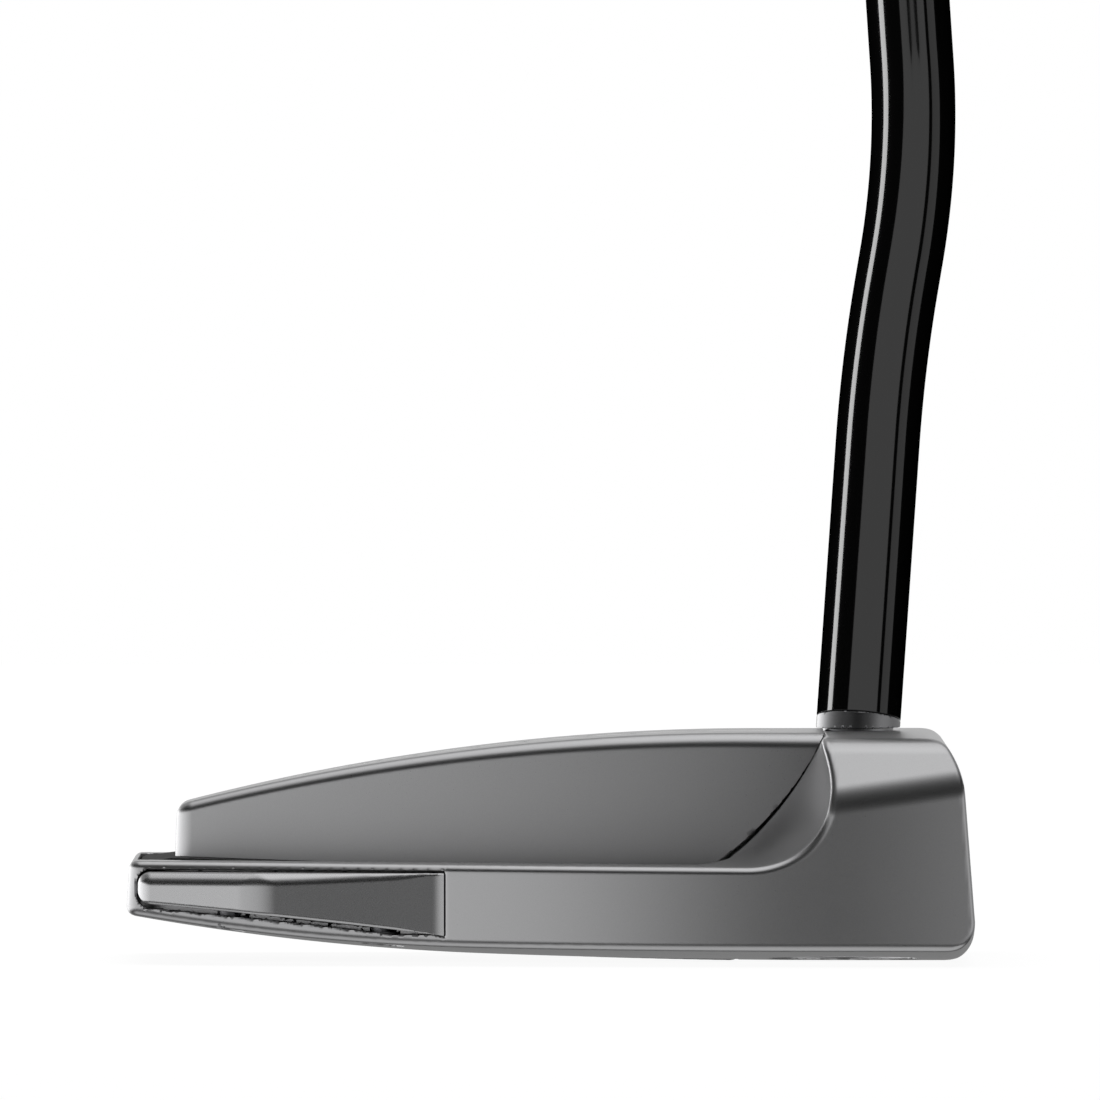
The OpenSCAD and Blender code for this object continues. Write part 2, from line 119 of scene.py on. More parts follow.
REAR_EDGE = (1.2, 19.1, 0.25, 0.97)  # a point of the block's rear edge at the toe, its lean, and its cosine
PORT = (8.4, 5.1, 3.5, 11.0)         # sole weight's recess: radius and height, then the threaded hole's
BORE = (4.05, 14.0)                  # hosel bore: radius and depth
GAP = 0.15                           # clearance round a fitted piece

# Radii of the rounded edges
SHOULDER_R = 1.2
CROWN_R = 2.0
TAIL_R = 1.2
TOP_R = 0.9
SOLE_R = 1.1
CROWN_FRONT_R = 1.5
LEAD_R = 3.6
FRONT_R = 0.5
POCKET_R = 0.28
POCKET_REAR_R = 1.5

SHARP_COSINE = 0.87   # corners whose normals differ more than this from their face's are shaded flat


def unit(v):
    return np.array(v, float) / np.linalg.norm(v)


FOOT = np.array([22, -1.88, CROWN_Z])
LOW_DIR = unit([0.185, -0.0705, 1])
MID_DIR = unit([0.25, -0.172, 1])
TOP_DIR = unit([0.364, 0.063, 1])
LOW_LEN = (57 - CROWN_Z) / LOW_DIR[2]
MID_LEN = 3.5
BENDS = ((LOW_DIR, MID_DIR, 160.0), (MID_DIR, TOP_DIR, 92.0))
UPPER_LEN = 762.0
GRIP_LEN = 267.0
COLLAR_H = 1.1
TIP_R = 4.7
BUTT_R = 7.4
SHAFT_WALL = 0.6
TAPER_START = 100.0
GRIP_START = UPPER_LEN - GRIP_LEN


# ---------------------------------------------------------------- shape functions
# A shape is a function of x, y, z arrays that is negative inside and about the distance from its surface.
def meet(a, b, r):
    """Both shapes at once, with their shared edge rounded to r."""
    u = np.maximum(r + a, 0)
    v = np.maximum(r + b, 0)
    return np.minimum(-r, np.maximum(a, b)) + np.sqrt(u * u + v * v)


def join(a, b, r):
    """Either shape, with the corner between them filled to r."""
    return -meet(-a, -b, r)


def cut(a, b, r):
    """The first shape without the second."""
    return meet(a, -b, r)


def ramp(x, a, b):
    """0 before a, 1 after b, smooth between."""
    t = np.clip((x - a) / (b - a), 0, 1)
    return t * t * (3 - 2 * t)


def line_between(x, a, b, low, high):
    return low + (high - low) * (x - a) / (b - a)


def half_width(y):
    run = math.sqrt(WALL_R ** 2 - STRAIGHT_Y ** 2)
    curved = HALF_W - WALL_R + np.sqrt(WALL_R ** 2 - np.minimum(y, STRAIGHT_Y) ** 2)
    return curved - np.maximum(y - STRAIGHT_Y, 0) * STRAIGHT_Y / run


def wall_cosine(y):
    near = np.minimum(y, STRAIGHT_Y)
    slope = near / np.sqrt(WALL_R ** 2 - near ** 2)
    return 1 / np.sqrt(1 + slope ** 2)


def sole_height(x, y):
    past = np.maximum(y - SOLE_BREAK_Y, 0)
    near = np.clip(y, 0, SOLE_BREAK_Y)
    camber = np.maximum(np.abs(x) - PAD_HALF_W, 0) ** 2 / 2 / CAMBER_R
    slope = SOLE_BREAK_Y / SOLE_FRONT_R
    return near ** 2 / 2 / SOLE_FRONT_R + past * slope + past ** 2 / 2 / SOLE_REAR_R + camber


def wing_height(y):
    return line_between(y, 12, TAIL_Y, WING_FRONT_Z, WING_TAIL_Z)


def deck_half_width(y):
    return line_between(y, *DECK)


def inlay_height(y):
    rise = line_between(y, *INLAY)
    fall = line_between(y, SPINE_TAIL_Y, DECK[1], INLAY[3], 11.05)
    return np.minimum(rise, fall)


def spine_half_width(y):
    t = np.clip((y - 3) / (SPINE_TAIL_Y - 3), 0, 1.1)
    return SPINE_WIDTHS[0] - (SPINE_WIDTHS[0] - SPINE_WIDTHS[1]) * t ** 1.45


def spine_height(y):
    drop = np.clip(y - 10, 0, 100)
    return CROWN_Z - SPINE_TOP_R + np.sqrt(SPINE_TOP_R ** 2 - drop ** 2)


def back_hollow(y, z):
    """Distance outside the large hollow behind the block."""
    return np.hypot(np.minimum(y - BACK_AXIS[0], 0), z - BACK_AXIS[1]) - BACK_R


def post(x, y, cx, cy, r):
    """Upright round post or hole."""
    return np.hypot(x - cx, y - cy) - r


def face_depth(y, z):
    """Distance in front of the leaning face."""
    return (FACE_Y + 0.05 + (z - LEAD_Z) * FACE_SLOPE - y) / math.sqrt(1 + FACE_SLOPE ** 2)


def front_depth(y, z):
    """Distance in front of the face, which is flat up to the brow and round from there."""
    depth = face_depth(y, z)
    along = z - BROW_Z + FACE_SLOPE * depth
    return np.hypot(np.maximum(depth + BROW_R, 0), np.maximum(along, 0)) - BROW_R


def insert_outline(x, z, grow):
    half_w, height, _, corner = INSERT
    u = np.abs(x) - half_w + corner
    v = np.abs(z - INSERT_MIDDLE) - height / 2 + corner
    outside = np.hypot(np.maximum(u, 0), np.maximum(v, 0))
    return outside + np.minimum(np.maximum(u, v), 0) - corner - grow


def facet_width(y):
    """Half width of the wing weight's outer side: it leaves the wall, runs out straight and folds in."""
    leave = np.clip(WING_BLEND - (y - WING_Y[0]), 0, WING_BLEND)
    wall_slope = STRAIGHT_Y / math.sqrt(WALL_R ** 2 - STRAIGHT_Y ** 2)
    bend = (wall_slope - WING_SLOPES[0]) / 2 / WING_BLEND
    slope = np.where(y < WING_FOLD[1], *WING_SLOPES)
    return WING_FOLD[0] - slope * (y - WING_FOLD[1]) + bend * leave ** 2


def wing_facets(ax, y, r):
    """Outer side of the wing weight: two upright facets with a soft fold."""
    leave = facet_width(np.minimum(y, WING_FOLD[1])) - WING_FOLD[0]
    front = (ax - WING_FOLD[0] - leave - WING_SLOPES[0] * np.minimum(WING_FOLD[1] - y, 0)) * 0.998
    rear = (ax - WING_FOLD[0] + WING_SLOPES[1] * (y - WING_FOLD[1])) * 0.8944
    return meet(front, rear, r)


def wing_low(y):
    """Height of the weight's lower edge."""
    run = y - WING_Y[0]
    return 3.3 + 0.127 * run - 0.0007 * run ** 2


def tenon_width(y):
    (y0, x0), (y1, x1), (y2, x2) = TENON_X
    return np.where(y < y1, line_between(y, y0, y1, x0, x1), line_between(y, y1, y2, x1, x2))


def wing_bottom(ax, y, z, drop, reach):
    """Distance below the weight's stepped underside: a boss outside the wall and a higher tenon inside."""
    boss = np.maximum(wing_low(y) - drop - z, half_width(y) - reach - ax)
    tenon = sole_height(0 * ax, y) + TENON_LIFT - drop - z
    return np.minimum(boss, tenon)


def screw_holes(x, y, z, places, screw, depth, slack):
    """Holes for upright screws: heads in the sole and stems above them."""
    stem_r, head_r, lift = screw
    holes = []
    for bx, by in places:
        seat = sole_height(bx, by) + lift
        holes.append(np.maximum(post(x, y, bx, by, head_r + slack), z - seat))
        holes.append(np.maximum(post(x, y, bx, by, stem_r + slack / 3), z - seat - depth))
    return np.minimum.reduce(holes)


def wing_holes(x, y, z):
    return screw_holes(np.abs(x), y, z, WING_BOLTS, WING_SCREW, 5.0, 0.15)


def spine_holes(x, y, z):
    return screw_holes(x, y, z, [(0, by) for by in SPINE_BOLT_Y], SPINE_SCREW, 12.0, 0.15)


def head_shape(x, y, z):
    ax = np.abs(x)
    wall = (ax - half_width(y)) * wall_cosine(y)
    shoulder_z = SHOULDER_Z + 1.9 * np.clip((1.2 - y) / 14, 0, 1)
    tilt_x, tilt_z = math.cos(SHOULDER_TILT), math.sin(SHOULDER_TILT)
    shoulder = (ax - half_width(y)) * tilt_x + (z - shoulder_z) * tilt_z
    crown = z - CROWN_Z
    side = meet(meet(wall, shoulder, SHOULDER_R), crown, CROWN_R)
    tail = y - TAIL_Y + (z - 6) * 0.06
    sole = sole_height(x, y) - z

    edge_y, edge_z, lean, cosine = REAR_EDGE
    rear_edge = (y - edge_y - (z - edge_z) * lean) * cosine
    wing = z - wing_height(y)
    outer = join(rear_edge, wing, RIM_R)
    inner = join(-back_hollow(y, z), wing, 2.0)
    share = ramp(ax, 23, 50)
    top = outer * share + inner * (1 - share)
    top = meet(top, crown, 0.03 + 0.6 * ramp(ax, 22.5, 26))

    front = meet(meet(front_depth(y, z), crown, CROWN_FRONT_R), sole, LEAD_R)
    body = meet(meet(side, tail, TAIL_R), top, TOP_R)
    body = meet(body, sole, SOLE_R)
    body = meet(body, front, FRONT_R)

    deck = np.maximum(ax - deck_half_width(y), y - DECK[1])
    deck = np.maximum(deck, DECK_Z - z)
    deck = np.maximum(deck, back_hollow(y, z))
    body = cut(body, deck, 0.15)

    slot = 0.04 + 0.5 * ramp(y, 45, 51)
    pocket = np.maximum(z - WING_TOP - 0.2, wing_bottom(ax, y, z, slot, 3.5))
    pocket = meet(pocket, y - WING_Y[1], POCKET_REAR_R)
    pocket = np.maximum(pocket, np.maximum(WING_Y[0] - 0.04 - y, tenon_width(y) - GAP - ax))
    body = cut(body, pocket, POCKET_R)

    insert = np.maximum(insert_outline(x, z, 0.05), -face_depth(y, z) - INSERT[2] - INSERT_PAD_T)
    body = cut(body, insert, 0.15)

    plate = np.maximum(ax - line_between(y, *PLATE) - GAP,
                       np.maximum(PLATE[0] - GAP - y, y - PLATE[1] - GAP))
    plate = np.maximum(plate, z - sole_height(0 * x, y) - PLATE_SUNK - PLATE_T)
    body = cut(body, plate, 0.25)

    wide_r, wide_z, hole_r, hole_z = PORT
    port = np.maximum(post(ax, y, WEIGHT_X, 0, wide_r), z - wide_z)
    port = np.minimum(port, np.maximum(post(ax, y, WEIGHT_X, 0, hole_r), z - hole_z))
    body = cut(body, port, 0.3)
    body = cut(body, np.minimum(wing_holes(x, y, z), spine_holes(x, y, z)), 0.1)

    run, off = along_post(x, y, z)
    return cut(body, np.maximum(off - BORE[0], -BORE[1] - run), 0.08)


def spine_shape(x, y, z):
    ax = np.abs(x)
    t = np.clip((y - 3) / (SPINE_TAIL_Y - 3), 0.001, 1.1)
    slope = (SPINE_WIDTHS[0] - SPINE_WIDTHS[1]) * 1.45 * t ** 0.45 / (SPINE_TAIL_Y - 3)
    wall = (ax - spine_half_width(y)) / np.sqrt(1 + slope ** 2)
    top = z - spine_height(y)
    tail = y - SPINE_TAIL_Y + 0.02 + (z - 9) * 0.03
    body = meet(meet(wall, tail, 1.7), top, 1.9 - 0.7 * t)
    gap = 0.02 + 0.04 * np.maximum(CROWN_Z - 2 - z, 0)
    body = meet(body, back_hollow(y, z) + gap, 0.03)
    body = np.maximum(body, DECK_Z + 0.03 - z)
    groove = np.maximum(ax - 1.25, np.maximum(-top - 0.5, np.maximum(7.9 - y, y - 62.1)))
    return cut(cut(body, groove, 0.1), spine_holes(x, y, z), 0.1)


def inlay_shape(x, y, z):
    ax = np.abs(x)
    body = np.maximum(ax - deck_half_width(y) + 0.15, y - DECK[1] + 0.15)
    body = meet(body, z - inlay_height(y), 0.2)
    body = np.maximum(body, DECK_Z + 0.03 - z)
    body = np.maximum(body, back_hollow(y, z) + 0.1)
    spine = np.maximum(ax - spine_half_width(y) - 0.3, y - SPINE_TAIL_Y - 0.1)
    return cut(body, spine, 0.15)


def wing_weight_shape(x, y, z):
    """A tenon in the wing's pocket and a boss outside the wall, with a bevelled top and soft edges."""
    ax = np.abs(x)
    soft = 0.04 + 0.4 * ramp(y, 44, 50)
    facets = wing_facets(ax, y, 0.9)
    upper = z - WING_TOP
    bevel = (facets + upper + 0.05 + 0.9 * ramp(y, 40, 66)) * 0.7071
    body = meet(meet(facets, bevel, soft), upper, soft / 2)
    body = meet(body, wing_bottom(ax, y, z, 0, 0.4), soft)
    body = meet(body, y - WING_Y[1] + 0.15, 1.4)
    body = np.maximum(body, np.maximum(tenon_width(y) - ax, WING_Y[0] - y))
    return cut(body, wing_holes(x, y, z), 0.1)


def insert_shape(x, y, z):
    depth = face_depth(y, z)
    body = meet(insert_outline(x, z, -0.05), front_depth(y, z) + 0.05, 0.2)
    body = np.maximum(body, -depth - INSERT[2])
    pitch, lowest = 1.25, INSERT_MIDDLE - 7.5
    nearest = np.clip(np.round((z - lowest) / pitch), 0, 12)
    groove = np.maximum(np.abs(z - lowest - nearest * pitch) - 0.28, -depth - 0.4)
    return cut(body, groove, 0.08)


def plate_shape(x, y, z):
    ax = np.abs(x)
    rise = z - sole_height(0 * x, y)
    body = np.maximum(ax - line_between(y, *PLATE), np.maximum(PLATE[0] - y, y - PLATE[1]))
    body = meet(body, PLATE_SUNK - rise, 0.3)
    body = np.maximum(body, rise - PLATE_SUNK - PLATE_T + 0.03)
    return cut(body, spine_holes(x, y, z), 0.15)


def along_post(x, y, z):
    """Distance along the hosel post from the crown, and distance from its axis."""
    px, py, pz = x - FOOT[0], y - FOOT[1], z - FOOT[2]
    run = px * LOW_DIR[0] + py * LOW_DIR[1] + pz * LOW_DIR[2]
    return run, np.sqrt(np.maximum(px ** 2 + py ** 2 + pz ** 2 - run ** 2, 1e-9))


def post_shape(x, y, z):
    run, off = along_post(x, y, z)
    stem = meet(off - 3.95, np.abs(run + 6) - 7.4, 0.3)
    collar = meet(off - 4.7, np.maximum(run - COLLAR_H + 0.03, CROWN_Z + 0.03 - z), 0.1)
    spigot = meet(off - 4.04, np.abs(run - 11.5) - 10.5, 0.4)
    return np.minimum(np.minimum(stem, collar), spigot)


# ---------------------------------------------------------------- from a shape to a mesh
def gradient(shape, p, h=0.015):
    columns = []
    for axis in range(3):
        step = np.zeros(3)
        step[axis] = h
        a, b = p + step, p - step
        columns.append((shape(*a.T) - shape(*b.T)) / (2 * h))
    return np.stack(columns, 1)


def sample(shape, low, count, cell):
    """The shape's values on a grid, worked out only in the blocks that the surface may cross."""
    block = 8
    field = np.empty(count, np.float32)
    starts = [np.arange(0, n, block) for n in count]
    corner = np.stack(np.meshgrid(*starts, indexing="ij"), -1).reshape(-1, 3)
    middle = shape(*(low + (corner + (block - 1) / 2) * cell).T)
    reach = np.linalg.norm(cell) * block * 0.75
    inner = np.stack(np.meshgrid(*[np.arange(block)] * 3, indexing="ij"), -1).reshape(-1, 3)
    near = np.abs(middle) < reach
    for c, value in zip(corner[~near], middle[~near]):
        field[c[0]:c[0] + block, c[1]:c[1] + block, c[2]:c[2] + block] = value
    batch = 600
    limit = np.array(count) - 1
    for start in range(0, near.sum(), batch):
        at = (corner[near][start:start + batch, None, :] + inner[None]).reshape(-1, 3)
        at = at[(at <= limit).all(1)]
        field[at[:, 0], at[:, 1], at[:, 2]] = shape(*(low + at * cell).T)
    return field


def net_cells(inside):
    """The grid cells with corners on both sides of the surface."""
    total = np.zeros(tuple(n - 1 for n in inside.shape), np.int8)
    for corner in np.ndindex(2, 2, 2):
        part = [slice(c, n - 1 + c) for c, n in zip(corner, inside.shape)]
        total += inside[tuple(part)]
    return (total > 0) & (total < 8)


def net_points(field, inside, cells, index, shape, low, cell):
    """A point in each of those cells, where the tangent planes at the surface's crossings meet."""
    sums = np.zeros((len(cells), 12))
    for axis in range(3):
        u, v = (axis + 1) % 3, (axis + 2) % 3
        lower, upper = [slice(None)] * 3, [slice(None)] * 3
        lower[axis], upper[axis] = slice(None, -1), slice(1, None)
        near = np.argwhere(inside[tuple(lower)] != inside[tuple(upper)])
        far = near.copy()
        far[:, axis] += 1
        a, b = field[tuple(near.T)].astype(float), field[tuple(far.T)].astype(float)
        point = near.astype(float)
        point[:, axis] += a / (a - b)
        point = low + point * cell
        normal = gradient(shape, point)
        normal /= np.maximum(np.linalg.norm(normal, axis=1), 1e-6)[:, None]
        square = (normal[:, :, None] * normal[:, None, :]).reshape(-1, 9)
        reach = (normal * point).sum(1)[:, None]
        # Each crossing adds its tangent plane and a slight pull to the crossing itself
        share = np.hstack([square + 0.02 * np.eye(3).ravel(), normal * reach + 0.02 * point])
        for du, dv in np.ndindex(2, 2):
            home = near.copy()
            home[:, u] -= du
            home[:, v] -= dv
            home = index[tuple(home.T)]
            for column in range(12):
                sums[:, column] += np.bincount(home, share[:, column], len(cells))
    points = np.linalg.solve(sums[:, :9].reshape(-1, 3, 3), sums[:, 9:12, None])[:, :, 0]
    start = low + cells * cell
    return np.clip(points, start + 0.02 * cell, start + 0.98 * cell)


def net_faces(inside, index):
    """A quad round each grid edge whose ends lie on different sides."""
    faces = []
    for axis in range(3):
        u, v = (axis + 1) % 3, (axis + 2) % 3
        lower = [slice(1, -1)] * 3
        upper = [slice(1, -1)] * 3
        lower[axis], upper[axis] = slice(None, -1), slice(1, None)
        a, b = inside[tuple(lower)], inside[tuple(upper)]
        for edges, order in ((a & ~b, 1), (b & ~a, -1)):
            at = np.argwhere(edges)
            at[:, u] += 1
            at[:, v] += 1
            ring = []
            for du, dv in ((-1, -1), (0, -1), (0, 0), (-1, 0)):
                cell = at.copy()
                cell[:, u] += du
                cell[:, v] += dv
                ring.append(index[tuple(cell.T)])
            faces.append(np.stack(ring, 1)[:, ::order])
    return np.concatenate(faces)


def unit_rows(rows):
    return rows / np.maximum(np.linalg.norm(rows, axis=1), 1e-9)[:, None]


def skin(name, shape, low, high, cell, look):
    """A closed quad mesh on the surface of a shape, with the shape's own normals."""
    cell = np.array(cell, float) * np.ones(3)
    low = np.array(low, float) - 2.5 * cell
    count = tuple(int(n) for n in np.ceil((np.array(high) + 2.5 * cell - low) / cell) + 1)
    field = sample(shape, low, count, cell)
    inside = field < 0
    active = net_cells(inside)
    cells = np.argwhere(active)
    index = np.full(active.shape, -1, np.int64)
    index[tuple(cells.T)] = np.arange(len(cells))
    points = net_points(field, inside, cells, index, shape, low, cell)
    faces = net_faces(inside, index)
    for _ in range(2):
        slope = gradient(shape, points)
        move = shape(*points.T) / np.maximum((slope * slope).sum(1), 0.2)
        move = np.clip(move, -0.4 * cell.min(), 0.4 * cell.min())
        points -= slope * move[:, None]
    at_corner = unit_rows(gradient(shape, points))[faces]
    at_face = unit_rows(gradient(shape, points[faces].mean(1)))[:, None]
    sharp = (at_corner * at_face).sum(-1, keepdims=True) < SHARP_COSINE
    return mesh_piece(name, points, faces, look, np.where(sharp, at_face, at_corner).reshape(-1, 3))


def mesh_piece(name, points, faces, look, normals=None):
    """A smooth piece from points in millimetres, with its look: a material and the record's slot.

    The normals, when they are given, are one for each corner of each face.
    """
    mesh = bpy.data.meshes.new(name)
    sides = faces.shape[1]
    mesh.vertices.add(len(points))
    mesh.vertices.foreach_set("co", (np.asarray(points) * MM).astype(np.float32).ravel())
    mesh.loops.add(faces.size)
    mesh.loops.foreach_set("vertex_index", faces.astype(np.int32).ravel())
    mesh.polygons.add(len(faces))
    mesh.polygons.foreach_set("loop_start", np.arange(0, faces.size, sides, dtype=np.int32))
    mesh.update(calc_edges=True)
    mesh.validate()
    mesh.polygons.foreach_set("use_smooth", np.ones(len(mesh.polygons), bool))
    if normals is not None and len(normals) == len(mesh.loops):
        mesh.normals_split_custom_set(normals.tolist())
    piece = bpy.data.objects.new(name, mesh)
    bpy.context.scene.collection.objects.link(piece)
    mesh.materials.append(look[0])
    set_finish(piece, look[1])
    return piece


# ---------------------------------------------------------------- turned and swept pieces
def rounded(corners, radii):
    """Points and outward normals of a closed outline, counter-clockwise, with corners rounded."""
    points, normals = [], []
    count = len(corners)
    for i, r in enumerate(radii):
        here = np.array(corners[i], float)
        before = here - np.array(corners[i - 1])
        after = np.array(corners[(i + 1) % count]) - here
        turn = math.atan2(before[0] * after[1] - before[1] * after[0], before @ after)
        before /= np.linalg.norm(before)
        start = here - before * r * math.tan(abs(turn) / 2)
        side = math.copysign(r, turn)
        for t in np.linspace(0, turn, 7 if r > 0 else 1):
            normal = np.array([before[1] * math.cos(t) + before[0] * math.sin(t),
                               before[1] * math.sin(t) - before[0] * math.cos(t)])
            points.append(start + (normal - [before[1], -before[0]]) * side)
            normals.append(normal)
    return np.array(points), np.array(normals)


def ring_faces(rings, sides):
    """Quads between rings of points, wrapping round each ring and from the last ring to the first."""
    i, j = np.meshgrid(np.arange(rings), np.arange(sides), indexing="ij")
    i, j = i.ravel(), j.ravel()
    up, across = (i + 1) % rings, (j + 1) % sides
    return np.stack([i * sides + j, i * sides + across, up * sides + across, up * sides + j], 1)


def across(direction):
    """Two directions at right angles to one another and to each given direction."""
    u = np.cross([0, 1, 0], direction)
    u /= np.linalg.norm(u, axis=-1, keepdims=True)
    return u, np.cross(direction, u)


def turned(name, corners, radii, path, look, sides=96):
    """A ring or tube round a path, from an outline of (radius, distance along the path) corners."""
    outline, flat = rounded(corners, radii)
    centre, direction = path(outline[:, 1])
    u, v = across(direction)
    angle = np.arange(sides) * 2 * math.pi / sides
    radial = u[:, None] * np.cos(angle)[:, None] + v[:, None] * np.sin(angle)[:, None]
    points = centre[:, None] + radial * outline[:, 0, None, None]
    normals = radial * flat[:, 0, None, None] + direction[:, None] * flat[:, 1, None, None]
    faces = ring_faces(len(outline), sides)
    return mesh_piece(name, points.reshape(-1, 3), faces, look, normals.reshape(-1, 3))


def upright(x, y, z=0.0):
    """A straight path going up from a point."""
    def path(s):
        centre = np.stack([np.full_like(s, x), np.full_like(s, y), z + s], -1)
        return centre, np.broadcast_to([0.0, 0.0, 1.0], centre.shape)
    return path


# ---------------------------------------------------------------- the shaft's route
def bend_parts(bend):
    a, b, r = bend
    angle = math.acos(a @ b)
    return angle, unit(b - (a @ b) * a), r


def bend_length(bend):
    return bend_parts(bend)[0] * bend[2]


ROUTE = (LOW_LEN, bend_length(BENDS[0]), MID_LEN, bend_length(BENDS[1]))
UPPER_S = sum(ROUTE)


def route(s):
    """The shaft's centreline and direction at distances along it from the crown."""
    s = np.asarray(s, float)
    centre = FOOT + np.minimum(s, ROUTE[0])[:, None] * LOW_DIR
    direction = np.broadcast_to(LOW_DIR, centre.shape).copy()
    start = ROUTE[0]
    for bend, straight in zip(BENDS, (MID_LEN, 1e6)):
        angle, side, r = bend_parts(bend)
        turn = np.clip((s - start) / r, 0, angle)[:, None]
        centre = centre + r * np.sin(turn) * bend[0] + r * (1 - np.cos(turn)) * side
        after = s > start
        direction[after] = (np.cos(turn) * bend[0] + np.sin(turn) * side)[after]
        start += angle * r
        centre = centre + np.clip(s - start, 0, straight)[:, None] * bend[1]
        start += straight
    return centre, direction


def shaft_radius(s):
    t = np.clip((s - UPPER_S - TAPER_START) / (GRIP_START - TAPER_START), 0, 1)
    return TIP_R + (BUTT_R - TIP_R) * t


def shaft_piece(look):
    ends = [COLLAR_H + 0.03, UPPER_S + TAPER_START, UPPER_S + GRIP_START, UPPER_S + UPPER_LEN]
    bends = np.arange(LOW_LEN - 2, UPPER_S + 2, 0.6)
    stations = sorted(ends + list(bends))
    outer = [(float(shaft_radius(s)), s) for s in stations]
    inner = [(r - SHAFT_WALL, s) for r, s in reversed(outer)]
    radii = [0.0] * len(outer)
    radii[0] = radii[-1] = 0.1
    return turned("shaft_tube", outer + inner, radii + radii[::-1], route, look, sides=80)


# ---------------------------------------------------------------- the grip
def grip_section(r, flat, angle):
    """Radius of a round section with one flat side, at angles from the middle of the flat."""
    side = np.maximum(np.cos(angle), 0) / flat
    power = 26.0
    return (r ** -power + side ** power) ** (-1 / power)


def sleeve(name, rings, look, sides=160, texture=None):
    """A piece round the upper shaft from rings of (distance, radius, distance of the flat side)."""
    rings = np.array(rings)
    centre, _ = route(UPPER_S + rings[:, 0])
    heading = math.atan2(TOP_DIR[1], TOP_DIR[0])
    lean = math.acos(TOP_DIR[2])
    frame_turn = np.array(Matrix.Rotation(heading, 3, "Z") @ Matrix.Rotation(lean, 3, "Y")
                          @ Matrix.Rotation(-heading, 3, "Z"))
    angle = np.arange(sides) * 2 * math.pi / sides
    radius = grip_section(rings[:, 1, None], rings[:, 2, None], angle[None])
    if texture is not None:
        radius = radius - texture(angle[None], rings[:, 0, None], rings[:, 1, None])
    local = np.stack([-radius * np.cos(angle), -radius * np.sin(angle), np.zeros_like(radius)], -1)
    points = centre[:, None] + local @ frame_turn.T
    return mesh_piece(name, points.reshape(-1, 3), ring_faces(len(rings), sides), look)


def grip_pattern(angle, s, r):
    """Depth of the grip's moulded pattern: crossed fine grooves round the back, a ladder on the flat."""
    turn = np.where(angle > math.pi, angle - 2 * math.pi, angle)
    run = s - GRIP_START
    ends = ramp(run, 22, 30) * (1 - ramp(run, 246, 254))
    outer = r > 11.0
    back = ramp(np.abs(turn), 0.95, 1.1)
    around = turn * 12.0
    diamonds = np.maximum(ramp(np.cos((around + run) * 1.3), 0.55, 0.95),
                          ramp(np.cos((around - run) * 1.3), 0.55, 0.95))
    ladder = ramp(np.cos(run * 2 * math.pi / 9), 0.7, 0.95) * (1 - ramp(np.abs(turn), 0.28, 0.36))
    return outer * ends * (0.3 * back * diamonds + 0.35 * (1 - back) * ladder)


def grip_skin_piece(look):
    share = 0.8
    low, high, thick = 11.5, 13.9, 1.45
    rings = [(0.35, 8.3, 30), (0.05, 8.5, 30), (0.0, 8.65, 30), (0.15, 8.95, 30), (0.7, 9.2, 30)]
    for run in np.linspace(2, 11, 10):
        rings.append((run, 9.3 + (low - 9.3) * (1 - (1 - (run - 2) / 9) ** 1.4), 30 - 18 * (run - 2) / 9))
    for run in np.linspace(11.6, 266.4, 480):
        r = line_between(run, 11, GRIP_LEN, low, high)
        blend = ramp(run, 11, 24)
        rings.append((run, r, (1 - blend) * 12 + blend * share * high))
    rings.append((266.8, high - 0.12, share * high - 0.12))
    rings.append((266.98, high - 0.5, share * high - 0.5))
    rings.append((267.0, high - 0.9, share * high - 0.9))
    rings.append((267.0, high - thick, share * high - thick))
    rings.append((16, low - thick, share * high - thick))
    rings.append((14, low - thick, share * high - thick))
    rings.append((14, 7.7, 30))
    rings.append((1.2, 7.7, 30))
    rings.append((0.6, 7.75, 30))
    return sleeve("grip_sleeve", [(GRIP_START + a, b, c) for a, b, c in rings], look, texture=grip_pattern)


def grip_cap_piece(look):
    r, flat = 13.9, 11.1
    rings = [(0.05, r - 1.2, flat - 1.2), (0.05, r - 0.4, flat - 0.4), (0.15, r - 0.12, flat - 0.12),
             (0.4, r, flat)]
    for t in np.linspace(0, 1, 12):
        turn = t * math.pi / 2
        drop = 2.6
        rings.append((4.9 - drop * (1 - math.sin(turn)), r - drop * (1 - math.cos(turn)),
                      flat - drop * (1 - math.cos(turn))))
    for inner in (10.0, 9.6):
        rings.append((4.9, inner, inner - 2.8))
    rings.append((4.5, 9.2, 6.4))
    rings.append((4.5, 8.8, 6.0))
    rings.append((4.5, 1.6, 9))
    rings.append((4.4, 1.0, 9))
    rings.append((4.0, 0.8, 9))
    rings.append((-7.5, 0.8, 9))
    rings.append((-7.9, 1.2, 9))
    rings.append((-7.9, 6.3, 30))
    rings.append((-7.5, 6.7, 30))
    rings.append((-0.3, 6.7, 30))
    rings.append((0.05, 7.0, 30))
    rings = [(UPPER_LEN + a, b, c) for a, b, c in rings]
    return sleeve("grip_cap", rings, look)


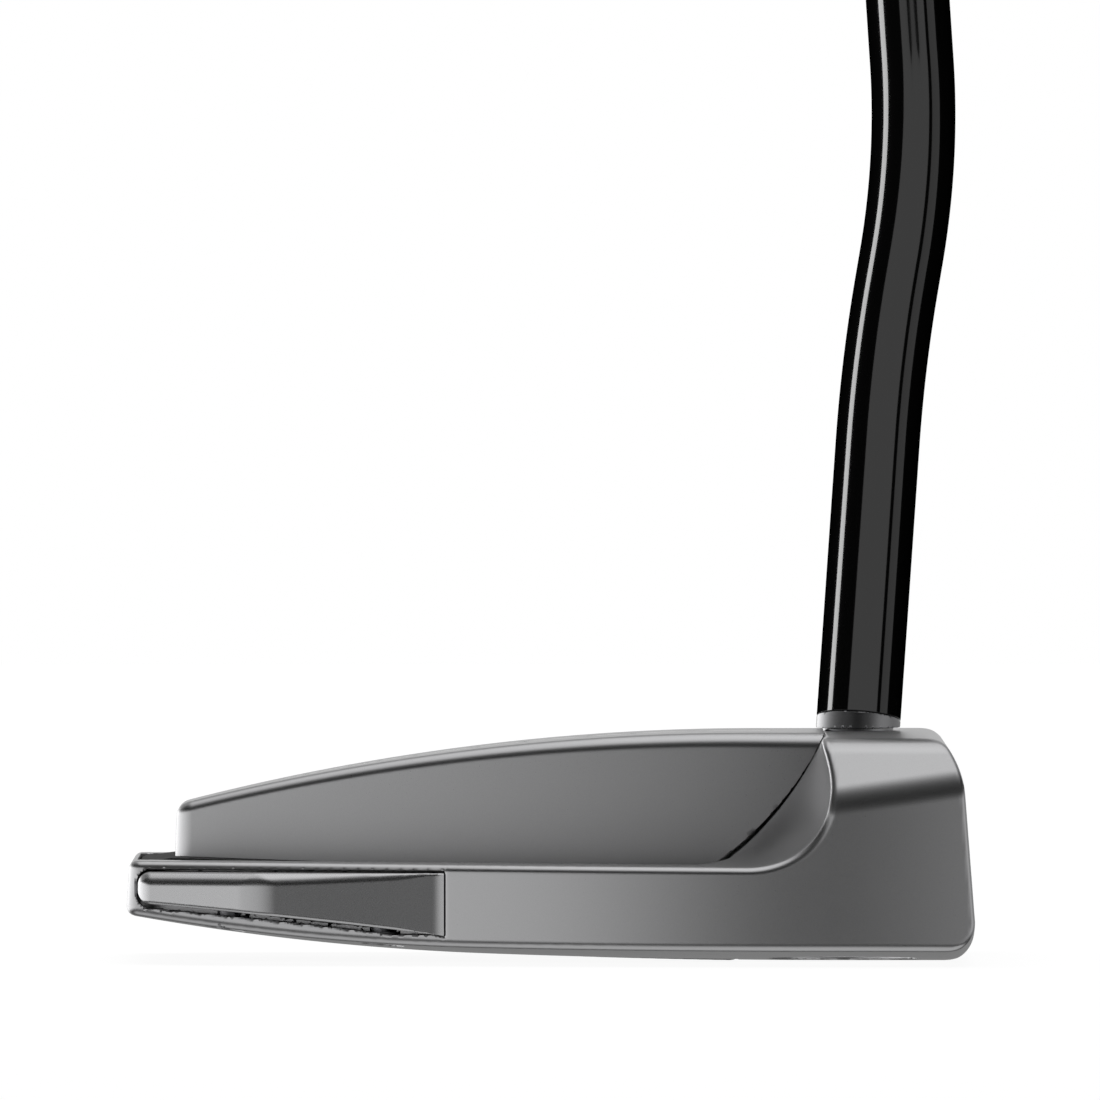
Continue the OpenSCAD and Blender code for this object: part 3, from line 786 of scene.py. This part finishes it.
# ---------------------------------------------------------------- materials
def material(name, color, rough, metallic=0.0, spread=0.06, grain=9000.0, stretch=(1, 1, 1), bump=0.02,
             coat=0.0):
    """A procedural finish: fine grain in colour, roughness and relief over a broad slow mottle."""
    made = bpy.data.materials.new(name)
    made.use_nodes = True
    nodes, links = made.node_tree.nodes, made.node_tree.links
    shader = nodes["Principled BSDF"]
    place = nodes.new("ShaderNodeTexCoord")
    turn = nodes.new("ShaderNodeMapping")
    turn.inputs["Scale"].default_value = stretch
    links.new(place.outputs["Object"], turn.inputs["Vector"])
    fine = nodes.new("ShaderNodeTexNoise")
    fine.inputs["Scale"].default_value = grain
    fine.inputs["Detail"].default_value = 3
    broad = nodes.new("ShaderNodeTexNoise")
    broad.inputs["Scale"].default_value = 60
    broad.inputs["Detail"].default_value = 2
    for noise in (fine, broad):
        links.new(turn.outputs["Vector"], noise.inputs["Vector"])
    both = nodes.new("ShaderNodeMath")
    both.operation = "MULTIPLY_ADD"
    links.new(fine.outputs["Fac"], both.inputs[0])
    both.inputs[1].default_value = 0.7
    half = nodes.new("ShaderNodeMath")
    half.operation = "MULTIPLY"
    links.new(broad.outputs["Fac"], half.inputs[0])
    half.inputs[1].default_value = 0.3
    links.new(half.outputs[0], both.inputs[2])
    tint = nodes.new("ShaderNodeValToRGB")
    tint.color_ramp.elements[0].position = 0.3
    tint.color_ramp.elements[1].position = 0.7
    tint.color_ramp.elements[0].color = (*[c * (1 - spread) for c in color], 1)
    tint.color_ramp.elements[1].color = (*[min(1, c * (1 + spread)) for c in color], 1)
    links.new(both.outputs[0], tint.inputs["Fac"])
    links.new(tint.outputs["Color"], shader.inputs["Base Color"])
    dull = nodes.new("ShaderNodeMapRange")
    dull.inputs["From Min"].default_value = 0.3
    dull.inputs["From Max"].default_value = 0.7
    dull.inputs["To Min"].default_value = rough * 0.9
    dull.inputs["To Max"].default_value = rough * 1.1
    links.new(both.outputs[0], dull.inputs["Value"])
    links.new(dull.outputs["Result"], shader.inputs["Roughness"])
    if bump > 0:
        relief = nodes.new("ShaderNodeBump")
        relief.inputs["Strength"].default_value = bump
        relief.inputs["Distance"].default_value = 0.0002
        links.new(fine.outputs["Fac"], relief.inputs["Height"])
        links.new(relief.outputs["Normal"], shader.inputs["Normal"])
    shader.inputs["Metallic"].default_value = metallic
    shader.inputs["Coat Weight"].default_value = coat
    shader.inputs["Coat Roughness"].default_value = 0.03
    return made


HEAD = (material("head_satin", (0.35, 0.35, 0.355), 0.3, 1), "head_metal")
SPINE = (material("spine_satin", (0.35, 0.35, 0.355), 0.3, 1), "spine_metal")
INSERT_LOOK = (material("insert_blasted", (0.58, 0.59, 0.6), 0.4, 1, bump=0.1), "insert_metal")
WEIGHT = (material("weight_satin", (0.35, 0.35, 0.355), 0.28, 1), "weight_metal")
SOLE_WEIGHT = (material("weight_turned", (0.55, 0.55, 0.56), 0.25, 1, bump=0.05), "sole_weight_steel")
POST = (material("post_turned", (0.22, 0.22, 0.225), 0.25, 1), "post_steel")
SCREW = (material("screw_oxide", (0.2, 0.2, 0.21), 0.35, 1), "screw_steel")
PLATE_LOOK = (material("plate_brushed", (0.09, 0.09, 0.095), 0.35, 1, 0.2, stretch=(1, 0.03, 1)),
              "plate_black")
INLAY_LOOK = (material("inlay_matte", (0.01, 0.01, 0.01), 0.6, grain=5000), "inlay_black")
INLAY_LOOK[0].node_tree.nodes["Principled BSDF"].inputs["Specular IOR Level"].default_value = 0.1
LINE = (material("line_enamel", (0.85, 0.85, 0.84), 0.3, spread=0.02), "line_white")
PAD = (material("pad_rubber", (0.03, 0.03, 0.03), 0.7), "pad_polymer")
WASHER = (material("washer_rubber", (0.03, 0.03, 0.03), 0.6), "washer_rubber")
SHAFT = (material("shaft_gloss", (0.004, 0.004, 0.004), 0.1, bump=0, coat=1.0), "shaft_black")
BAND = (material("band_satin", (0.55, 0.55, 0.56), 0.35, spread=0.03), "band_film")
TAPE = (material("tape_crepe", (0.8, 0.76, 0.66), 0.85, bump=0.3), "tape_paper")
FOAM = (material("foam", (0.13, 0.13, 0.13), 0.9, bump=0.4), "grip_foam")
GRIP = (material("grip_polymer", (0.03, 0.03, 0.032), 0.6, bump=0.25, grain=2500), "grip_polymer")
CAP = (material("grip_rubber", (0.022, 0.022, 0.022), 0.5, bump=0.15), "grip_rubber")


# ---------------------------------------------------------------- building the putter
def made(piece, body, *nodes):
    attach(piece, body)
    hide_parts(*nodes)
    return piece


def carried(node, look, soften=0.0):
    """A CAD node shown as it is, with its own finish and, if asked, softened edges."""
    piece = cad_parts[node]
    piece.data.materials.clear()
    piece.data.materials.append(look[0])
    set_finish(piece, look[1])
    if soften > 0:
        edge = piece.modifiers.new("soften", "BEVEL")
        edge.width = soften * MM
        edge.segments = 2
        edge.limit_method = "ANGLE"


def turn_angle(x, y):
    return np.arctan2(y, x) / (2 * math.pi)


def sole_weight_shape(cx):
    """A round weight with a hex socket, a ring groove in its flat face and a threaded stem."""
    def shape(x, y, z):
        px = x - cx
        off = np.hypot(px, y)
        disc = meet(off - 8.1, np.abs(z - 2.6) - 1.7, 0.35)
        ring = np.maximum(np.abs(off - 6.3) - 0.25, z - 1.2)
        disc = cut(disc, ring, 0.1)
        wave = np.abs((z - turn_angle(px, y)) % 1.0 - 0.5) * 2
        stem = meet(off - 3.4 + 0.45 * (1 - wave), np.abs(z - 6.5) - 4.0, 0.35)
        body = join(disc, stem, 0.15)
        hexes = np.maximum(np.abs(px), np.abs(px) / 2 + np.abs(y) * 0.866)
        return cut(body, np.maximum(hexes - 1.95, z - 3.3), 0.15)
    return shape


def build_head():
    low, high = (-52.5, -15, -0.5), (52.5, 79.5, 26)
    made(skin("head_main", head_shape, low, high, (0.55, 0.32, 0.27), HEAD), "club", "head_body")
    spine_low, spine_high = (-23.5, 1.5, 8), (23.5, 75, 26)
    made(skin("spine_main", spine_shape, spine_low, spine_high, (0.45, 0.32, 0.3), SPINE),
         "club", "spine_bridge")
    made(skin("deck_fill", inlay_shape, (-33, 12, 8), (33, 78, 13), 0.35, INLAY_LOOK), "club", "deck_inlay")
    made(skin("insert_face", insert_shape, (-40, -15, 3), (40, -9, 22), (0.4, 0.2, 0.16), INSERT_LOOK),
         "club", "face_insert")
    made(skin("plate_sole", plate_shape, (-28, 11, 0), (28, 69, 8), 0.4, PLATE_LOOK), "club", "sole_plate")
    for side, low_x in (("toe", -45.0), ("heel", 25.0)):
        box = (low_x, 43.5, 2), (low_x + 20, 79, 11)
        made(skin("wing_" + side, wing_weight_shape, *box, (0.3, 0.25, 0.2), WEIGHT),
             "club", "wing_weight_" + side)


def build_sole():
    for side, x in (("toe", -WEIGHT_X), ("heel", WEIGHT_X)):
        low, high = (x - 8.5, -8.5, 0.5), (x + 8.5, 8.5, 11)
        made(skin("port_weight_" + side, sole_weight_shape(x), low, high, 0.2, SOLE_WEIGHT),
             side + "_weight", "sole_weight_" + side)
        ring = turned("port_washer_" + side, [(3.6, 0), (7.2, 0), (7.2, 0.75), (3.6, 0.75)],
                      [0.2] * 4, upright(x, 0, 4.3), WASHER)
        made(ring, side + "_washer", "weight_washer_" + side)


def build_shaft():
    made(skin("post_turned", post_shape, (14, -8, 11), (32, 4, 48), 0.22, POST), "club", "hosel_post")
    made(shaft_piece(SHAFT), "club", "shaft")
    start = UPPER_S + GRIP_START - 60
    r = [float(shaft_radius(s)) for s in (start, start + 35)]
    band = turned("shaft_sleeve", [(r[0], start), (r[0] + 0.12, start), (r[1] + 0.12, start + 35),
                                   (r[1], start + 35)], [0, 0.05, 0.05, 0], route, BAND)
    made(band, "club", "shaft_band")
    made(grip_skin_piece(GRIP), "club", "grip_skin")
    made(grip_cap_piece(CAP), "club", "grip_end_cap")


build_head()
build_sole()
build_shaft()
carried("insert_pad", PAD)
carried("sight_line", LINE)
carried("sole_screws", SCREW, 0.15)
carried("wing_screws_toe", SCREW, 0.15)
carried("wing_screws_heel", SCREW, 0.15)
carried("grip_tape", TAPE)
carried("grip_core", FOAM)


# ---------------------------------------------------------------- studio
VIEW_MM = 122.1      # width of the picture at the toe
CAMERA_MM = 5000.0
CAMERA_RISE = math.radians(0.5)


def place_camera():
    camera = bpy.data.objects.new("camera", bpy.data.cameras.new("camera"))
    bpy.context.scene.collection.objects.link(camera)
    target = Vector((-7, 32.5, 45.5))
    back = Vector((-math.cos(CAMERA_RISE), 0, math.sin(CAMERA_RISE)))
    camera.location = (target + back * CAMERA_MM) * MM
    camera.rotation_mode = "QUATERNION"
    camera.rotation_quaternion = (-back).to_track_quat("-Z", "Y")
    camera.data.sensor_width = 36
    camera.data.lens = 36 * CAMERA_MM / VIEW_MM
    camera.data.clip_start = 0.5
    camera.data.clip_end = 200
    bpy.context.scene.camera = camera


def math_node(tree, operation, *values):
    node = tree.nodes.new("ShaderNodeMath")
    node.operation = operation
    for socket, value in zip(node.inputs, values):
        if isinstance(value, bpy.types.NodeSocket):
            tree.links.new(value, socket)
        else:
            socket.default_value = value
    return node.outputs[0]


def curve_node(tree, value, low, high, stops):
    """A value from straight stretches between (position, level) stops."""
    share = math_node(tree, "DIVIDE", math_node(tree, "SUBTRACT", value, low), high - low)
    ramp_node = tree.nodes.new("ShaderNodeValToRGB")
    elements = ramp_node.color_ramp.elements
    top = max(0.001, *[level for _, level in stops])
    for i, (position, level) in enumerate(stops):
        place = (position - low) / (high - low)
        element = elements[i] if i < 2 else elements.new(place)
        element.position = place
        element.color = (level / top, level / top, level / top, 1)
    tree.links.new(share, ramp_node.inputs["Fac"])
    return math_node(tree, "MULTIPLY", ramp_node.outputs["Color"], top)


def dome(name, radius, sides, top, receivers):
    """A large glowing shell round the putter that only the receivers see.

    Its light depends on direction: sides gives the level round the horizon by the angle from the camera,
    top the level by elevation. A soft light low behind the putter shows in the surfaces that face up.
    """
    bpy.ops.mesh.primitive_uv_sphere_add(segments=48, ring_count=24, radius=radius)
    shell = bpy.context.object
    shell.name = name
    look = bpy.data.materials.new(name)
    look.use_nodes = True
    tree = look.node_tree
    tree.nodes.clear()
    place = tree.nodes.new("ShaderNodeTexCoord")
    parts = tree.nodes.new("ShaderNodeSeparateXYZ")
    tree.links.new(place.outputs["Object"], parts.inputs[0])
    x, y, z = parts.outputs
    flat = math_node(tree, "SQRT", math_node(tree, "ADD", math_node(tree, "POWER", x, 2.0),
                                             math_node(tree, "POWER", y, 2.0)))
    azimuth = math_node(tree, "DEGREES", math_node(tree, "ARCTAN2", y, math_node(tree, "MULTIPLY", x, -1.0)))
    elevation = math_node(tree, "DEGREES", math_node(tree, "ARCTAN2", z, flat))
    round_level = curve_node(tree, azimuth, -180, 180, sides)
    near = curve_node(tree, elevation, -90, 90, [(-90, 0), (-28, 0), (-16, 1), (10, 1), (18, 0), (90, 0)])
    rise_level = curve_node(tree, elevation, -90, 90, top)
    total = math_node(tree, "MULTIPLY_ADD", round_level, near, rise_level)
    behind = curve_node(tree, azimuth, -180, 180,
                        [(-180, 1), (-130, 1), (-110, 0), (110, 0), (130, 1), (180, 1)])
    low_back = curve_node(tree, elevation, -90, 90, [(-90, 0), (1, 0), (3, 0.5), (60, 0.5), (70, 0), (90, 0)])
    total = math_node(tree, "MULTIPLY_ADD", behind, low_back, total)
    glow = tree.nodes.new("ShaderNodeEmission")
    tree.links.new(total, glow.inputs["Strength"])
    end = tree.nodes.new("ShaderNodeOutputMaterial")
    tree.links.new(glow.outputs[0], end.inputs["Surface"])
    shell.data.materials.append(look)
    shell.visible_camera = False
    shell.visible_shadow = False
    shell.light_linking.receiver_collection = receivers
    shell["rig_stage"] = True
    return shell


def panel(first, last, level, receivers):
    """A tall soft light over a range of angles round the putter, in degrees from the camera's side."""
    away, low, high = 2.2, -0.6, 4.6
    middle = math.radians((first + last) / 2)
    light = bpy.data.lights.new("panel", "AREA")
    light.shape = "RECTANGLE"
    light.size = 2 * away * math.tan(math.radians(last - first) / 2)
    light.size_y = high - low
    light.energy = level * math.pi * light.size * light.size_y
    lamp = bpy.data.objects.new("panel", light)
    bpy.context.scene.collection.objects.link(lamp)
    back = Vector((-math.cos(middle), math.sin(middle), 0))
    lamp.location = back * away + Vector((0, 0, (low + high) / 2))
    lamp.rotation_mode = "QUATERNION"
    lamp.rotation_quaternion = (-back).to_track_quat("-Z", "Y")
    lamp.visible_camera = False
    lamp.light_linking.receiver_collection = receivers


def light_group(name, members):
    group = bpy.data.collections.new(name)
    for member in members:
        group.objects.link(member)
    return group


def build_studio():
    bpy.ops.mesh.primitive_circle_add(vertices=64, radius=2.9, fill_type="NGON", location=(0, 0, -0.02 * MM))
    floor = bpy.context.object
    floor.name = "floor"
    paper = bpy.data.materials.new("paper")
    paper.use_nodes = True
    shader = paper.node_tree.nodes["Principled BSDF"]
    shader.inputs["Base Color"].default_value = (0.12, 0.12, 0.12, 1)
    shader.inputs["Roughness"].default_value = 1
    shader.inputs["Specular IOR Level"].default_value = 0
    shader.inputs["Emission Color"].default_value = (1, 1, 1, 1)
    shader.inputs["Emission Strength"].default_value = 0.93
    floor.data.materials.append(paper)
    floor.visible_glossy = False
    floor.visible_diffuse = False
    floor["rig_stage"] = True

    world = bpy.data.worlds.new("studio")
    bpy.context.scene.world = world
    world.use_nodes = True
    tree = world.node_tree
    path = tree.nodes.new("ShaderNodeLightPath")
    tree.links.new(path.outputs["Is Camera Ray"], tree.nodes["Background"].inputs["Strength"])
    tree.nodes["Background"].inputs["Color"].default_value = (1, 1, 1, 1)

    tube = [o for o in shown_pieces() if o.get("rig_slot") == "shaft_black"]
    rest = [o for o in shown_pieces() if o not in tube] + [floor]
    sides = [(-180, 0.3), (-120, 0.3), (-60, 1.0), (-30, 0.5), (-12, 0.45), (-3, 0.08), (6, 0.08), (11, 0.22),
             (30, 1.05), (42, 1.0), (54, 1.2), (80, 1.6), (120, 2.4), (150, 2.4), (165, 0.3), (180, 0.3)]
    top = [(-90, 1), (-58, 1), (-38, 0.1), (8, 0.1), (16, 0.02), (34, 0.02), (50, 0.15), (62, 1.3), (90, 1.8)]
    dome("dome_head", 3.0, sides, top, light_group("lit_head", rest))
    panels = ((-50, -23, 0.55), (-23, 5, 0.55), (5, 32, 0.55), (-84, -60, 0.4), (82, 98, 5.0))
    lit = light_group("lit_shaft", tube)
    for first, last, level in panels:
        panel(first, last, level, lit)


place_camera()
build_studio()
scene = bpy.context.scene
scene.view_settings.view_transform = "Standard"
scene.view_settings.look = "None"
